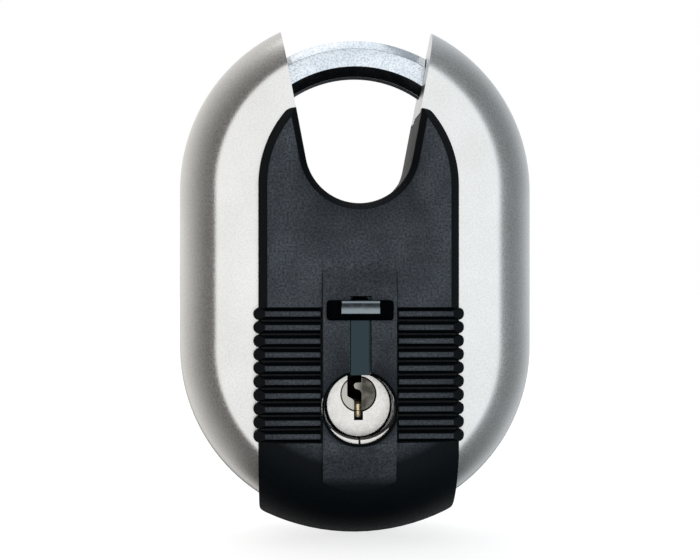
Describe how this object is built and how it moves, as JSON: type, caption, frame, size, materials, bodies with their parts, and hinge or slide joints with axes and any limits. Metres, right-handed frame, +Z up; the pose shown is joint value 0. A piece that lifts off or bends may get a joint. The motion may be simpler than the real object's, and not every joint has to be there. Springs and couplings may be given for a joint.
{
  "type": "shrouded disc padlock",
  "caption": "Tall shrouded disc padlock: steel shells with two horns around a short arc shackle, ribbed black cover, keyhole slide and key cylinder.",
  "frame": {"origin": "middle of the shackle's inner face at its mid plane, where a staple or chain bears with the lock hanging", "axes": "+Z up through the shackle with the lock hanging, +Y from the keyhole side to the back, +X to the right seen from the keyhole side"},
  "size_m": [0.086, 0.0396, 0.1228],
  "materials": {
    "shell_steel": "bead-blasted satin",
    "cover_plastic": "fine moulded grain",
    "core_zinc": "as cast (stands for die-cast zinc)",
    "inner_steel": "zinc plated",
    "shackle_steel": "plated, smooth",
    "gear_steel": "hardened, oiled",
    "barrel_nickel": "satin nickel",
    "plug_nickel": "satin nickel",
    "pin_brass": "turned",
    "slide_plastic": "polished black"
  },
  "bodies": {
    "housing": {"front_shell": "shell_steel", "rear_shell": "shell_steel", "front_cover": "cover_plastic", "rear_cover": "cover_plastic", "core_block": "core_zinc", "back_plate": "inner_steel", "cylinder_body": "barrel_nickel", "bezel_ring": "barrel_nickel", "cylinder_pin": "inner_steel", "pin_chamber_cap": "inner_steel", "slide_spring": "inner_steel", "pin_spring_1": "inner_steel", "pin_spring_2": "inner_steel", "pin_spring_3": "inner_steel", "pin_spring_4": "inner_steel", "pin_spring_5": "inner_steel", "case_screw_1": "inner_steel", "case_screw_2": "inner_steel", "case_screw_3": "inner_steel", "case_screw_4": "inner_steel", "front_cover_nut_1": "inner_steel", "front_cover_nut_2": "inner_steel", "front_cover_nut_3": "inner_steel", "rear_cover_nut_1": "inner_steel", "rear_cover_nut_2": "inner_steel", "rear_cover_nut_3": "inner_steel"},
    "shackle": {"shackle": "shackle_steel", "shackle_carrier": "gear_steel", "carrier_rivet_1": "inner_steel", "carrier_rivet_2": "inner_steel"},
    "plug": {"plug": "plug_nickel", "drive_gear": "gear_steel", "gear_circlip": "inner_steel"},
    "key_pins": {"key_pin_1": "pin_brass", "key_pin_2": "pin_brass", "key_pin_3": "pin_brass", "key_pin_4": "pin_brass", "key_pin_5": "pin_brass"},
    "driver_pins": {"driver_pin_1": "pin_brass", "driver_pin_2": "pin_brass", "driver_pin_3": "pin_brass", "driver_pin_4": "pin_brass", "driver_pin_5": "pin_brass"},
    "key_cover": {"key_cover_slide": "slide_plastic"}
  },
  "joints": [
    {"name": "shackle_swing", "type": "hinge", "parent": "housing", "child": "shackle", "pos_m": [0, 0, -0.0276], "axis": [0, 1, 0], "range_deg": [0, 75]},
    {"name": "plug_turn", "type": "hinge", "parent": "housing", "child": "plug", "pos_m": [0, 0, -0.0769], "axis": [0, 1, 0], "range_deg": [-180, 0]},
    {"name": "key_pins_lift", "type": "slide", "parent": "plug", "child": "key_pins", "axis": [0, 0, 1], "range_m": [0, 0.001]},
    {"name": "driver_pins_push", "type": "slide", "parent": "housing", "child": "driver_pins", "axis": [0, 0, -1], "range_m": [0, 0.0012], "stiffness_N_per_m": 20, "deforming": ["pin_spring_1", "pin_spring_2", "pin_spring_3", "pin_spring_4", "pin_spring_5"]},
    {"name": "key_cover_slide", "type": "slide", "parent": "housing", "child": "key_cover", "axis": [0, 0, -1], "range_m": [0, 0.012]}
  ],
  "couplings": [
    {"joint": "plug_turn", "follows": "shackle_swing", "ratio": -2.4}
  ]
}
